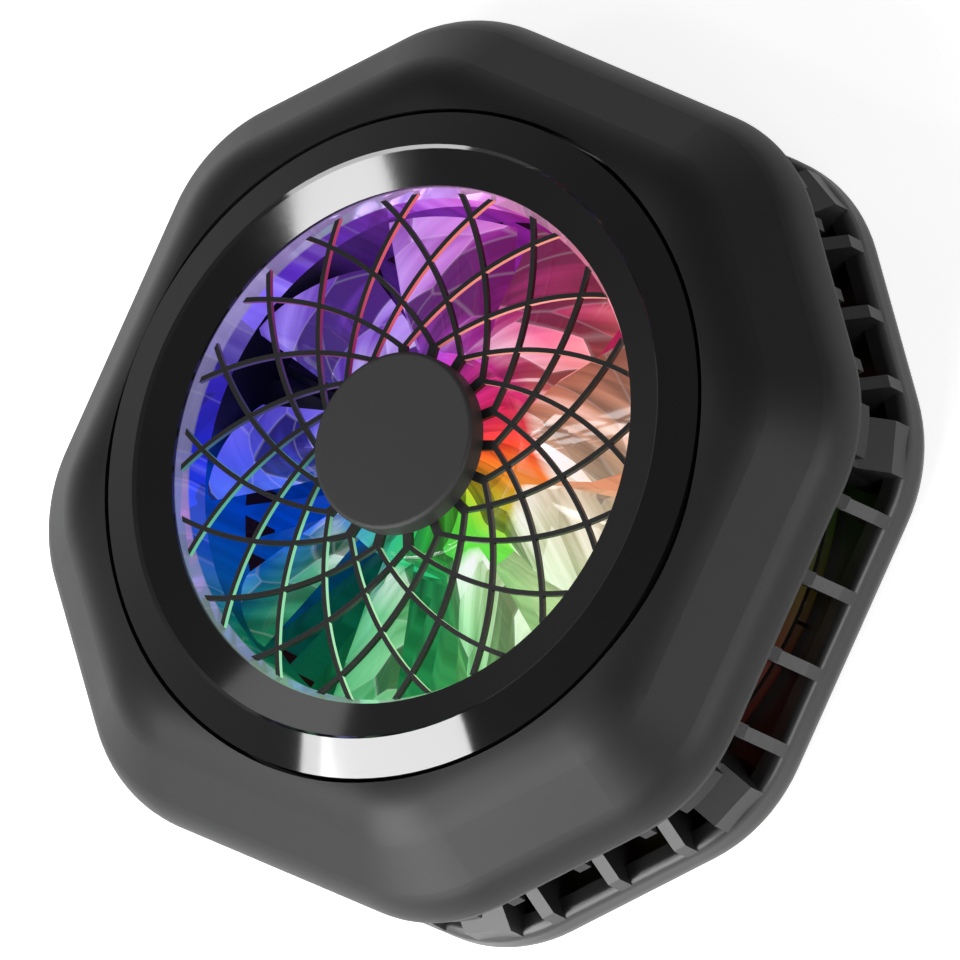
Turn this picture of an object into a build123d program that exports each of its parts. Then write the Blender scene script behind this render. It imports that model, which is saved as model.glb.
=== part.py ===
"""Phone cooling fan that holds to a phone's back by magnets, lying on its contact face.

The axis of the fan is Z, with the front face up. The origin is the middle of the rear contact face.
X and Y are square to the long sides of the octagon, and the power socket is on the -Y side.
"""

from build123d import *
from math import cos, pi, radians, sin, sqrt
import os

# Driving dimensions in millimetres, angles in degrees
face_margin = 0.37  # flat face between the groove and the shoulder of the front cover
rear_margin = 5.6  # least room from the contact pad's edge to the housing's long sides
corner_reach = 1.5  # the octagon's short sides lie this much further out than its long ones
front_corner_radius = 13.6
front_wall = 1.6
cover_depth = 9.4  # face down to the front cover's rim
shoulder = 6.2  # sloped shoulder of the front cover, as high as it is wide
shoulder_top_round = 6.5
shoulder_side_round = 4.4
tuck = 0.8  # the side turns in again towards the rim
tuck_round = 1.3
groove_width = 0.33  # round the trim ring

rear_inset = 0.85  # rear cover inside the front cover's outline
ledge_width = 1.7
rear_roll = 2.4
rear_edge_round = 0.8
rear_wall_height = 4.2
floor_thickness = 1.4

rib_width = 1.05
rib_depth = 5.1
rib_inset = 0.1  # the ribs' outer faces inside the rear cover's side
rib_foot = 1.5  # upright foot of each rib, over the ledge
rib_lean = 1.9  # from its foot each rib slopes in, as far as it rises
long_side_ribs = 4
short_side_ribs = 3
corner_block_width = 4.1
corner_block_inset = 0.15
tooth_drop = 1.5
tooth_thickness = 1.8

pad_proud = 0.5
pad_thickness = 0.9
pad_margin = 0.4  # pad past the magnets
plate_land = 1.3  # floor between the cold plate and the pad
plate_flange = 1.5
plate_flange_thickness = 1.0
plate_recess = 0.1  # the plate's face behind the pad's face
ceramic_margin = 0.74  # from the module's corners to the plate's edge
ceramic_thickness = 0.6
pellet_side = 1.1
pellet_height = 1.2
pellet_rows = 8
magnet_inner_radius = 23.0
magnet_width = 4.0
magnet_thickness = 1.5
magnet_count = 16
magnet_gap = 0.35
magnet_cover = 0.4  # floor left under the magnets
shunt_thickness = 0.5

sink_setback = 1.75  # behind the vent ribs
sink_base = 1.2
fin_height = 4.5
fin_thickness = 0.7
fin_inner_radius = 9.5
fin_count = 45
sink_boss_radius = 1.6
sink_boss_gap = 0.7  # between the bosses and the cold plate's flange
magnet_setback = 0.6  # between the bosses and the magnets
sink_screw_count = 4
sink_screw_turn = 45.0

duct_radius = 20.2
duct_wall = 1.2
duct_height = 6.8
frame_plate = 1.0
shelf_setback = 0.5  # the shelf under the LED board ends this far inside the trim ring
frame_ring_width = 4.6
strut_width = 2.2
strut_count = 3
strut_turn = 30.0
motor_base_radius = 8.4
tube_outer_radius = 2.3
bearing_outer_radius = 1.6
shaft_radius = 0.75
shaft_length = 5.4
shaft_lift = 0.15  # shaft's end over the motor base
clip_thickness = 0.25
clip_gap = 0.1
clip_wall = 0.55
running_gap = 0.02  # shaft in its bearing
bearing_length = 3.5
thrust_gap = 0.2

blade_count = 9
blade_thickness = 0.8
tip_gap = 0.9
hub_radius = 8.2
hub_wall = 1.0
hub_rise = 0.4  # hub's top over the duct wall
hub_lift = 0.6  # hub's rim over the motor base
hub_boss_wall = 1.25
root_chord, middle_chord, tip_chord = 5.4, 8.2, 10.2
root_pitch, middle_pitch, tip_pitch = 44.0, 37.0, 30.0
middle_sweep, tip_sweep = 0.6, 2.4  # sections moved forward, the way the fan turns
blade_camber = 0.9
blade_middle_share = 0.58  # radius of the middle section, as a share of the duct's
yoke_thickness = 0.4
magnet_ring_thickness = 0.9
rotor_air_gap = 0.35
pole_count = 4
pole_width = 1.6
core_height = 2.4
coil_thickness = 0.5
motor_board_thickness = 0.6

light_height = 3.4
light_lip = 0.55  # the light ring stands in past the duct wall
light_flare_start = 2.4  # height of its upright wall, over which it flares out again
light_flare = 0.55
light_wall = 2.2
led_board_width = 3.6
led_count = 12
led_length, led_width, led_height = 2.0, 1.4, 0.9
pcb_thickness = 0.8

trim_crest_inset = 2.8  # from the trim ring's edge
trim_crest_rise = 1.2
trim_crest_step = 0.25
trim_inner_rise = 0.26
trim_flange_width = 0.8
trim_flange_thickness = 0.7
trim_leg = 1.2
trim_roof = 2.1

wires_per_hand = 18
wire_width = 0.38
wire_height = 0.4
grille_rise = 2.85  # from the duct wall up to the wires, whose ends rest on the flare
wire_start = 180 / wires_per_hand  # degrees from the X axis to the first wire
wire_middle_share = 0.682  # of the duct's radius, where a wire has turned by its middle turn
wire_middle_turn = 27.7
wire_end_share = 1.035
wire_end_turn = 46.5
node_radius = 7.87  # circle where the wires start
boss_radius = 5.3
boss_drop = 1.5  # hub of the grille below the wires
cap_radius = 7.0
cap_thickness = 1.8
cap_rise = 0.45  # from the wires' underside to the cap's seat
cap_edge = 0.35
cap_peg_radius = 1.6
cap_peg_length = 1.2

port_block_width = 14.0
port_block_depth = 2.8
socket_width, socket_height, socket_depth = 8.94, 3.26, 7.3
socket_sheet = 0.3
tongue_width, tongue_height = 6.7, 0.7
tongue_base = 1.4
socket_recess = 0.3  # the socket's mouth inside its block
control_board_width = 16.4
chip_length, chip_width, chip_height = 2.6, 2.2, 1.1
control_board_rise = 0.5  # over the shunt ring
board_post_radius = 0.9

screw_radius = 0.95
screw_head_radius = 1.75
screw_head_height = 1.3
screw_setback = 5.3  # from the front cover's outline at a corner
screw_boss_radius = 2.3
small_screw_radius = 0.65
small_head_radius = 1.3
small_head_height = 0.8
small_screw_bite = 2.6
fan_screw_setback = 2.85  # from the duct
fan_screw_turn = 90.0
sink_column_radius = 1.4
recess_width = 0.4
recess_depth = 0.6
screw_bite = 3.8  # length of thread in the front cover
counterbore_depth = 1.6

fit = 0.1  # clearance round a piece that drops into a pocket
build_gap = 0.3  # between pieces that only pass each other
overrun = 1.0  # how far a cut runs past what it cuts

# Radii, from the duct out to the housing and from the magnets in to the cold plate
light_inner_radius = duct_radius - light_lip
light_outer_radius = duct_radius + light_wall
trim_inner_radius = duct_radius + fit
trim_outer_radius = light_outer_radius + fit + led_board_width
trim_crest_radius = trim_outer_radius - trim_crest_inset
groove_radius = trim_outer_radius + groove_width
fan_screw_place = duct_radius + fan_screw_setback
magnet_outer_radius = magnet_inner_radius + magnet_width
pad_outer_radius = magnet_outer_radius + pad_margin
sink_boss_place = magnet_inner_radius - magnet_setback - sink_boss_radius
plate_radius = sink_boss_place - sink_boss_radius - sink_boss_gap - plate_flange
pad_inner_radius = plate_radius + plate_land
ceramic_side = (plate_radius - ceramic_margin) * sqrt(2)

# The octagon's flats, wide enough for the trim ring in front and the contact pad behind
front_flats = 2 * max(groove_radius + face_margin + shoulder, pad_outer_radius + rear_margin)
front_corner_flats = front_flats + 2 * corner_reach
rear_flats = front_flats - 2 * rear_inset
rear_corner_flats = front_corner_flats - 2 * rear_inset
rear_corner_radius = front_corner_radius - rear_inset
long_half = front_corner_flats / sqrt(2) - front_flats / 2
short_half = front_flats / sqrt(2) - front_corner_flats / 2
corner_centre_x = front_flats / 2 - front_corner_radius
corner_centre_y = (front_corner_flats / 2 - front_corner_radius) * sqrt(2) - corner_centre_x
sink_radius = rear_flats / 2 - rib_depth - sink_setback
quarters = range(4)

# Heights, stacked from the contact face up
back_height = pad_proud
floor_height = back_height + floor_thickness
plate_top = floor_height + plate_flange_thickness
pellet_base = plate_top + ceramic_thickness
pellet_top = pellet_base + pellet_height
sink_bottom = pellet_top + ceramic_thickness
fin_bottom = sink_bottom + sink_base
frame_bottom = fin_bottom + fin_height
duct_bottom = frame_bottom + frame_plate
duct_top = frame_bottom + duct_height
grille_seat = duct_top + grille_rise
light_top = duct_top + light_height
face_height = light_top + fit
rim_height = face_height - cover_depth
ledge_height = back_height + rear_wall_height
meet_height = rim_height - tooth_drop
magnet_bottom = back_height - pad_proud + pad_thickness + magnet_cover
shunt_bottom = magnet_bottom + magnet_thickness
board_bottom = shunt_bottom + shunt_thickness + control_board_rise
socket_bottom = board_bottom + pcb_thickness
socket_middle = socket_bottom + socket_height / 2
led_board_bottom = duct_top - pcb_thickness
hub_top = duct_top + hub_rise
hub_ceiling = hub_top - hub_wall
shaft_bottom = duct_bottom + shaft_lift
clip_bottom = shaft_bottom + clip_gap
bearing_bottom = clip_bottom + clip_thickness + clip_gap
bearing_top = bearing_bottom + bearing_length
hub_boss_bottom = bearing_top + thrust_gap


def octagon(inset, flats=front_flats, corner_flats=front_corner_flats, radius=front_corner_radius):
    """A square with its corners cut off and rounded, drawn in by an inset all round."""
    with BuildSketch() as outline:
        Rectangle(flats - 2 * inset, flats - 2 * inset)
        Rectangle(corner_flats - 2 * inset, corner_flats - 2 * inset, rotation=45, mode=Mode.INTERSECT)
        fillet(outline.vertices(), radius - inset)
    return outline.sketch


def rear_octagon(inset):
    """The rear cover's outline, drawn in by an inset."""
    return octagon(inset, rear_flats, rear_corner_flats, rear_corner_radius)


def turned(x, y, angle):
    """A place turned about the axis, facing outwards."""
    turn = radians(angle)
    return Location((x * cos(turn) - y * sin(turn), x * sin(turn) + y * cos(turn), 0), (0, 0, angle))


def evenly(count, half_length):
    """Offsets of ribs that share a side evenly."""
    pitch = 2 * half_length / (count + 1)
    return [pitch * (index + 1) - half_length for index in range(count)]


def is_clear_of_port(place):
    """Whether a rib is beside the power socket's block, not in it."""
    return place.position.Y > 0 or abs(place.position.X) > (port_block_width + rib_width) / 2


def rib_places(setback):
    """Places of the thin ribs, a setback inside the front cover's outline."""
    for quarter in quarters:
        for offset in evenly(long_side_ribs, long_half):
            place = turned(front_flats / 2 - setback, offset, 90 * quarter)
            if is_clear_of_port(place):
                yield place
        for offset in evenly(short_side_ribs, short_half):
            yield turned(front_corner_flats / 2 - setback, offset, 90 * quarter + 45)


def corner_places(setback, sides=(-1, 1)):
    """Places at the rounded corners, each facing along the middle of its corner's arc."""
    for quarter in quarters:
        for side in sides:
            reach = front_corner_radius - setback
            x = corner_centre_x + reach * cos(pi / 8)
            y = side * (corner_centre_y + reach * sin(pi / 8))
            place = turned(x, y, 90 * quarter)
            yield Location(place.position, (0, 0, 90 * quarter + side * 22.5))


def upside_down(height):
    """Places of the housing screws at a height, facing down."""
    for place in corner_places(screw_setback, (1,)):
        yield Location((place.position.X, place.position.Y, height), (180, 0, 0))


def ring(outer, inner):
    """A flat ring."""
    with BuildSketch() as flat:
        Circle(outer)
        Circle(inner, mode=Mode.SUBTRACT)
    return flat.sketch


# Front cover: soft octagonal shell, open in the middle and at the back, with teeth on its rim
with BuildSketch() as tooth_bands:
    with Locations(*rib_places(0)):
        Rectangle(2 * rib_depth, rib_width)
    with Locations(*corner_places(0)):
        Rectangle(2 * rib_depth, corner_block_width)
    with Locations((0, -front_flats / 2)):
        Rectangle(port_block_width, 2 * rib_depth)

with BuildPart() as cover_cavity:
    with BuildSketch(Plane.XY.offset(rim_height)):
        add(octagon(front_wall))
    extrude(amount=cover_depth - front_wall)
    chamfer(cover_cavity.edges().group_by(Axis.Z)[-1], shoulder - (2 - sqrt(2)) * front_wall)
    chamfer(cover_cavity.edges().group_by(Axis.Z)[0], tuck)

with BuildPart() as front_cover:
    with BuildSketch(Plane.XY.offset(rim_height)):
        add(octagon(0))
    extrude(amount=cover_depth)
    chamfer(front_cover.edges().group_by(Axis.Z)[-1], shoulder)
    chamfer(front_cover.edges().group_by(Axis.Z)[0], tuck)
    level = front_cover.edges().filter_by(GeomType.LINE) + front_cover.edges().filter_by(GeomType.CIRCLE)
    rings_up = level.filter_by(Plane.XY).group_by(Axis.Z)
    fillet(rings_up[-1], shoulder_top_round)
    rings_up = front_cover.edges().filter_by(Plane.XY).group_by(Axis.Z)
    fillet(rings_up[2], shoulder_side_round)
    rings_up = front_cover.edges().filter_by(Plane.XY).group_by(Axis.Z)
    fillet(rings_up[1], tuck_round)
    add(cover_cavity.part, mode=Mode.SUBTRACT)
    with BuildSketch(Plane.XY.offset(meet_height)):
        add(octagon(tuck))
        add(octagon(tuck + tooth_thickness), mode=Mode.SUBTRACT)
        add(tooth_bands.sketch, mode=Mode.INTERSECT)
    extrude(amount=tooth_drop + fit)
    # Flat collar under the face, where the trim ring's flange seats
    with BuildSketch(Plane.XY.offset(duct_top + trim_flange_thickness)):
        Circle(groove_radius + trim_flange_width)
    extrude(amount=front_wall)
    # Screw columns down to the rear cover's corner blocks
    with BuildSketch(Plane.XY.offset(meet_height)):
        with Locations(*corner_places(screw_setback, (1,))):
            Circle(screw_boss_radius)
    extrude(amount=cover_depth + tooth_drop - 2 * front_wall)
    with BuildSketch(Plane.XY.offset(meet_height)):
        with Locations(*corner_places(screw_setback, (1,))):
            Circle(screw_radius + running_gap)
    extrude(amount=screw_bite + overrun, mode=Mode.SUBTRACT)
    with BuildSketch(Plane.XY.offset(rim_height)):
        Circle(groove_radius)
    extrude(amount=cover_depth + overrun, mode=Mode.SUBTRACT)


def vent_rib(width, top):
    """A vent rib of a width, up to a height. X is 0 at the rear cover's side."""
    with BuildPart() as rib:
        with BuildSketch(Plane.XZ):
            with BuildLine():
                Polyline(
                    (-rib_depth, floor_height),
                    (-rib_depth, top),
                    (-rib_inset - rib_lean, top),
                    (-rib_inset - rib_lean, ledge_height + rib_foot + rib_lean),
                    (-rib_inset, ledge_height + rib_foot),
                    (-rib_inset, ledge_height - rear_edge_round),
                    (-ledge_width / 2, floor_height),
                    close=True,
                )
            make_face()
        extrude(amount=width / 2, both=True)
    return rib.part


# Rear cover: shallow octagonal tray with the ribs, the corner blocks and the socket's block
with BuildPart() as rear_cover:
    with BuildSketch(Plane.XY.offset(back_height)):
        add(rear_octagon(0))
    extrude(amount=rear_wall_height)
    fillet(rear_cover.faces().sort_by(Axis.Z)[0].edges(), rear_roll)
    fillet(rear_cover.faces().sort_by(Axis.Z)[-1].edges(), rear_edge_round)
    with BuildSketch(Plane.XY.offset(floor_height)):
        add(rear_octagon(ledge_width))
    extrude(amount=rear_wall_height, mode=Mode.SUBTRACT)
    with Locations(*rib_places(rear_inset)):
        add(vent_rib(rib_width, rim_height))
    with Locations(*corner_places(rear_inset + corner_block_inset)):
        add(vent_rib(corner_block_width, meet_height))
    port_front = rib_inset - rear_flats / 2
    with BuildSketch(Plane.XY.offset(floor_height)):
        with Locations((0, port_front)):
            Rectangle(port_block_width, port_block_depth, align=(Align.CENTER, Align.MIN))
    extrude(amount=meet_height - floor_height)
    with BuildSketch(Plane.XZ.offset(-port_front - port_block_depth - overrun)):
        with Locations((0, socket_middle)):
            RectangleRounded(
                socket_width + 2 * fit, socket_height + 2 * fit, (socket_height + fit) / 2
            )
    extrude(amount=port_block_depth + 2 * overrun, mode=Mode.SUBTRACT)
    # Screw columns, posts and bosses on the floor
    with BuildSketch(Plane.XY.offset(floor_height)):
        with Locations(*corner_places(screw_setback, (1,))):
            Circle(screw_boss_radius)
    extrude(amount=meet_height - floor_height)
    with BuildSketch(Plane.XY.offset(floor_height)):
        with PolarLocations(sink_boss_place, sink_screw_count, start_angle=sink_screw_turn):
            Circle(sink_boss_radius)
            Circle(small_screw_radius + running_gap, mode=Mode.SUBTRACT)
    extrude(amount=sink_bottom - floor_height)
    post_spread = control_board_width / 2 - board_post_radius - fit
    post_y = port_front + port_block_depth + fit + board_post_radius
    with BuildSketch(Plane.XY.offset(floor_height)):
        with Locations((-post_spread, post_y), (post_spread, post_y)):
            Circle(board_post_radius)
    extrude(amount=board_bottom - floor_height)
    # Cuts in the floor: window of the cold plate, pad recess, magnet groove, screw holes
    with BuildSketch(Plane.XY.offset(back_height - overrun)):
        Circle(plate_radius + fit)
    extrude(amount=floor_thickness + 2 * overrun, mode=Mode.SUBTRACT)
    with BuildSketch(Plane.XY.offset(pad_thickness)):
        Circle(pad_outer_radius + fit)
        Circle(pad_inner_radius - fit, mode=Mode.SUBTRACT)
    extrude(amount=-pad_thickness, mode=Mode.SUBTRACT)
    with BuildSketch(Plane.XY.offset(magnet_bottom)):
        add(ring(magnet_outer_radius + fit, magnet_inner_radius - fit))
    extrude(amount=floor_thickness, mode=Mode.SUBTRACT)
    with Locations(*upside_down(back_height)):
        CounterBoreHole(screw_radius + fit, screw_head_radius + fit, counterbore_depth)

port_back = port_front + port_block_depth + fit
socket_mouth = port_front + socket_recess
socket_back = socket_mouth + socket_depth

# Contact pad: soft ring that grips the phone
with BuildPart() as contact_pad:
    add(ring(pad_outer_radius, pad_inner_radius))
    extrude(amount=pad_thickness)
    fillet(contact_pad.edges().group_by(Axis.Z)[0], pad_proud / 2)

# Cold plate: its face meets the phone, its flange seats on the floor
with BuildPart() as cold_plate:
    with BuildSketch(Plane.XY.offset(plate_recess)):
        Circle(plate_radius)
    extrude(amount=floor_height - plate_recess)
    with BuildSketch(Plane.XY.offset(floor_height)):
        Circle(plate_radius + plate_flange)
    extrude(amount=plate_flange_thickness)

# Thermoelectric module: two ceramics with a grid of pellets between them, in a foam frame
with BuildPart() as cold_ceramic:
    with BuildSketch(Plane.XY.offset(plate_top)):
        Rectangle(ceramic_side, ceramic_side)
    extrude(amount=ceramic_thickness)
with BuildPart() as pellets:
    pellet_pitch = ceramic_side / pellet_rows
    with BuildSketch(Plane.XY.offset(pellet_base)):
        with GridLocations(pellet_pitch, pellet_pitch, pellet_rows, pellet_rows):
            Rectangle(pellet_side, pellet_side)
    extrude(amount=pellet_height)
with BuildPart() as hot_ceramic:
    with BuildSketch(Plane.XY.offset(pellet_top)):
        Rectangle(ceramic_side, ceramic_side)
    extrude(amount=ceramic_thickness)
with BuildPart() as insulation_frame:
    with BuildSketch(Plane.XY.offset(plate_top)):
        Circle(plate_radius + plate_flange)
        Rectangle(ceramic_side + 2 * fit, ceramic_side + 2 * fit, mode=Mode.SUBTRACT)
    extrude(amount=sink_bottom - plate_top)

# Magnet ring: arc magnets in the floor's groove, closed by a steel shunt ring
with BuildPart() as magnets:
    with BuildSketch(Plane.XY.offset(magnet_bottom)):
        add(ring(magnet_outer_radius, magnet_inner_radius))
        with PolarLocations(0, magnet_count):
            Rectangle(2 * magnet_outer_radius, magnet_gap, align=(Align.MIN, Align.CENTER), mode=Mode.SUBTRACT)
    extrude(amount=magnet_thickness)
with BuildPart() as shunt_ring:
    with BuildSketch(Plane.XY.offset(shunt_bottom)):
        add(ring(magnet_outer_radius, magnet_inner_radius))
    extrude(amount=shunt_thickness)

# Heat sink: round base with radial fins, a plain middle under the motor and two sets of screw places
with BuildPart() as heat_sink:
    with BuildSketch(Plane.XY.offset(sink_bottom)):
        Circle(sink_radius)
    extrude(amount=sink_base)
    with BuildSketch(Plane.XY.offset(fin_bottom)):
        Circle(fin_inner_radius)
        with PolarLocations(fin_inner_radius - fit, fin_count):
            Rectangle(sink_radius - fin_inner_radius, fin_thickness, align=(Align.MIN, Align.CENTER))
        with PolarLocations(sink_boss_place, sink_screw_count, start_angle=sink_screw_turn):
            Circle(small_head_radius + build_gap, mode=Mode.SUBTRACT)
        with PolarLocations(fan_screw_place, strut_count, start_angle=fan_screw_turn):
            Circle(sink_column_radius)
    extrude(amount=fin_height)
    with BuildSketch(Plane.XY.offset(sink_bottom)):
        with PolarLocations(sink_boss_place, sink_screw_count, start_angle=sink_screw_turn):
            Circle(small_screw_radius + fit)
        with Locations((0, socket_back + build_gap)):
            Rectangle(socket_width + 2 * build_gap, socket_depth, align=(Align.CENTER, Align.MAX))
    extrude(amount=sink_base + fin_height, mode=Mode.SUBTRACT)
    with BuildSketch(Plane.XY.offset(frame_bottom)):
        with PolarLocations(fan_screw_place, strut_count, start_angle=fan_screw_turn):
            Circle(small_screw_radius + running_gap)
    extrude(amount=-small_screw_bite - fit, mode=Mode.SUBTRACT)

# Fan frame: duct wall, struts, motor base, bearing tube, and a shelf for the LED board
with BuildPart() as fan_frame:
    with BuildSketch(Plane.XY.offset(frame_bottom)):
        add(ring(duct_radius + frame_ring_width, duct_radius))
        Circle(motor_base_radius)
        with PolarLocations(motor_base_radius - overrun, strut_count, start_angle=strut_turn):
            Rectangle(duct_radius - motor_base_radius + 2 * overrun, strut_width, align=(Align.MIN, Align.CENTER))
        with PolarLocations(fan_screw_place, strut_count, start_angle=fan_screw_turn):
            Circle(small_screw_radius + fit, mode=Mode.SUBTRACT)
    extrude(amount=frame_plate)
    with BuildSketch(Plane.XY.offset(frame_bottom)):
        add(ring(duct_radius + duct_wall, duct_radius))
    extrude(amount=duct_height)
    with BuildSketch(Plane.XY.offset(led_board_bottom)):
        add(ring(trim_outer_radius - shelf_setback, duct_radius))
        with PolarLocations(fan_screw_place, strut_count, start_angle=fan_screw_turn):
            Circle(small_head_radius + fit, mode=Mode.SUBTRACT)
    extrude(amount=-frame_plate)
    with BuildSketch(Plane.XY.offset(duct_bottom)):
        add(ring(tube_outer_radius, bearing_outer_radius))
    extrude(amount=bearing_top - duct_bottom)

# Bearing, shaft and the clip that keeps the shaft in
with BuildPart() as bearing:
    with BuildSketch(Plane.XY.offset(bearing_bottom)):
        add(ring(bearing_outer_radius, shaft_radius + running_gap))
    extrude(amount=bearing_length)
clip_groove = clip_wall / 2
with BuildPart() as shaft:
    with BuildSketch(Plane.XY.offset(shaft_bottom)):
        Circle(shaft_radius)
    extrude(amount=shaft_length)
    with BuildSketch(Plane.XY.offset(clip_bottom)):
        add(ring(shaft_radius + overrun, shaft_radius - clip_groove))
    extrude(amount=clip_thickness, mode=Mode.SUBTRACT)
with BuildPart() as retaining_clip:
    with BuildSketch(Plane.XY.offset(clip_bottom)):
        add(ring(shaft_radius - clip_groove + clip_wall, shaft_radius - clip_groove))
        Rectangle(2 * shaft_radius, shaft_radius, align=(Align.MIN, Align.CENTER), mode=Mode.SUBTRACT)
    extrude(amount=clip_thickness)

# Stator: laminated core on the bearing tube, a coil on each pole, and the board under it
magnet_inside = hub_radius - hub_wall - yoke_thickness - magnet_ring_thickness
core_radius = magnet_inside - rotor_air_gap
core_bottom = duct_bottom + motor_board_thickness + coil_thickness + build_gap
coil_inner = tube_outer_radius + pole_width / 2 + build_gap
shoe_thickness = pole_width / 2
coil_outer = sqrt((core_radius - shoe_thickness - fit) ** 2 - (pole_width / 2 + coil_thickness) ** 2)
with BuildPart() as stator_core:
    with BuildSketch(Plane.XY.offset(core_bottom)):
        Circle(core_radius)
        add(ring(core_radius - shoe_thickness, tube_outer_radius + pole_width / 2), mode=Mode.SUBTRACT)
        with PolarLocations(0, pole_count, start_angle=45):
            Rectangle(core_radius + overrun, pole_width / 2, align=(Align.MIN, Align.CENTER), mode=Mode.SUBTRACT)
        Circle(tube_outer_radius + pole_width / 2)
        with PolarLocations(tube_outer_radius, pole_count):
            Rectangle(core_radius - tube_outer_radius - fit, pole_width, align=(Align.MIN, Align.CENTER))
        Circle(tube_outer_radius, mode=Mode.SUBTRACT)
    extrude(amount=core_height)
with BuildPart() as coil:
    with BuildSketch(Plane.YZ.offset(coil_inner)):
        with Locations((0, core_bottom + core_height / 2)):
            RectangleRounded(pole_width + 2 * coil_thickness, core_height + 2 * coil_thickness, coil_thickness)
            Rectangle(pole_width, core_height, mode=Mode.SUBTRACT)
    extrude(amount=coil_outer - coil_inner)
with BuildPart() as stator_coils:
    with PolarLocations(0, pole_count):
        add(coil.part)
with BuildPart() as motor_board:
    with BuildSketch(Plane.XY.offset(duct_bottom)):
        add(ring(core_radius + shoe_thickness, tube_outer_radius + fit))
    extrude(amount=motor_board_thickness)

# Rotor: steel yoke pressed into the hub, with the ring magnet inside it
yoke_bottom = duct_bottom + hub_lift + build_gap
with BuildPart() as rotor_yoke:
    with BuildSketch(Plane.XY.offset(yoke_bottom)):
        add(ring(hub_radius - hub_wall, hub_radius - hub_wall - yoke_thickness))
    extrude(amount=hub_ceiling - yoke_bottom)
    with BuildSketch(Plane.XY.offset(hub_ceiling)):
        add(ring(hub_radius - hub_wall, shaft_radius + hub_boss_wall + fit))
    extrude(amount=-yoke_thickness)
with BuildPart() as rotor_magnet:
    with BuildSketch(Plane.XY.offset(yoke_bottom + fit)):
        add(ring(magnet_inside + magnet_ring_thickness, magnet_inside))
    extrude(amount=hub_ceiling - yoke_thickness - yoke_bottom - fit)

# Impeller: hub cup with a shaft boss and cambered, twisted blades
blade_middle = (duct_bottom + hub_lift + duct_top) / 2
blade_root = hub_radius - hub_wall / 2


def blade_section(reach, sweep, chord, pitch):
    """The blade's cambered outline at a distance from the axis, with its leading edge up."""
    along = (0, cos(radians(pitch)), sin(radians(pitch)))
    plane = Plane(origin=(reach, sweep, blade_middle), x_dir=along, z_dir=(1, 0, 0))
    half, side = chord / 2, blade_thickness / 2
    with BuildSketch(plane) as section:
        with BuildLine():
            ThreePointArc((-half, side), (0, blade_camber + side), (half, side))
            Line((half, side), (half, -side))
            ThreePointArc((half, -side), (0, blade_camber - side), (-half, -side))
            Line((-half, -side), (-half, side))
        make_face()
    return section.sketch


with BuildPart() as blade:
    add(blade_section(blade_root, 0, root_chord, root_pitch))
    add(blade_section(duct_radius * blade_middle_share, middle_sweep, middle_chord, middle_pitch))
    add(blade_section(duct_radius, tip_sweep, tip_chord, tip_pitch))
    loft(ruled=True)
    with BuildSketch(Plane.XY.offset(duct_bottom)):
        Circle(duct_radius - tip_gap)
    extrude(amount=duct_height, mode=Mode.INTERSECT)
with BuildPart() as impeller:
    with BuildSketch(Plane.XY.offset(duct_bottom + hub_lift)):
        Circle(hub_radius)
    extrude(amount=hub_top - duct_bottom - hub_lift)
    fillet(impeller.edges().group_by(Axis.Z)[-1], hub_wall / 2)
    with BuildSketch(Plane.XY.offset(duct_bottom + hub_lift)):
        Circle(hub_radius - hub_wall)
    extrude(amount=hub_ceiling - duct_bottom - hub_lift, mode=Mode.SUBTRACT)
    with BuildSketch(Plane.XY.offset(hub_boss_bottom)):
        Circle(shaft_radius + hub_boss_wall)
    extrude(amount=hub_ceiling - hub_boss_bottom)
    with PolarLocations(0, blade_count):
        add(blade.part)
    with BuildSketch(Plane.XY.offset(hub_boss_bottom)):
        Circle(shaft_radius)
    extrude(amount=shaft_bottom + shaft_length - hub_boss_bottom, mode=Mode.SUBTRACT)

# Light ring: clear ring on the duct wall, upright inside and flared at the top
with BuildPart() as light_ring:
    with BuildSketch(Plane.XZ):
        with BuildLine():
            Polyline(
                (light_inner_radius, duct_top),
                (light_inner_radius, duct_top + light_flare_start),
                (light_inner_radius + light_flare, light_top),
                (light_outer_radius, light_top),
                (light_outer_radius, duct_top),
                close=True,
            )
        make_face()
    revolve(axis=Axis.Z)

# LED board round the light ring, with its LEDs facing in
with BuildPart() as led_board:
    with BuildSketch(Plane.XY.offset(led_board_bottom)):
        add(ring(trim_outer_radius, light_outer_radius + fit))
        with PolarLocations(fan_screw_place, strut_count, start_angle=fan_screw_turn):
            Circle(small_head_radius + fit, mode=Mode.SUBTRACT)
    extrude(amount=pcb_thickness)
with BuildPart() as leds:
    with BuildSketch(Plane.XY.offset(duct_top)):
        with PolarLocations(light_outer_radius + 2 * fit, led_count, start_angle=180 / led_count):
            Rectangle(led_width, led_length, align=(Align.MIN, Align.CENTER))
    extrude(amount=led_height)

# Trim ring: two sloped bands that meet in a crest, over the light ring and the LED board
trim_flange_radius = groove_radius + trim_flange_width - fit
trim_crest = face_height + trim_crest_rise
with BuildPart() as trim_ring:
    with BuildSketch(Plane.XZ):
        with BuildLine():
            Polyline(
                (trim_inner_radius, light_top),
                (trim_inner_radius, face_height + trim_inner_rise),
                (trim_crest_radius - trim_crest_step, trim_crest - trim_crest_step),
                (trim_crest_radius, trim_crest),
                (trim_outer_radius, face_height),
                (trim_outer_radius, duct_top + trim_flange_thickness),
                (trim_flange_radius, duct_top + trim_flange_thickness),
                (trim_flange_radius, duct_top),
                (trim_outer_radius - trim_leg, duct_top),
                (trim_outer_radius - trim_leg, face_height - trim_roof),
                (light_outer_radius + fit, face_height - trim_roof),
                (light_outer_radius + fit, light_top),
                close=True,
            )
        make_face()
    revolve(axis=Axis.Z)

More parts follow.
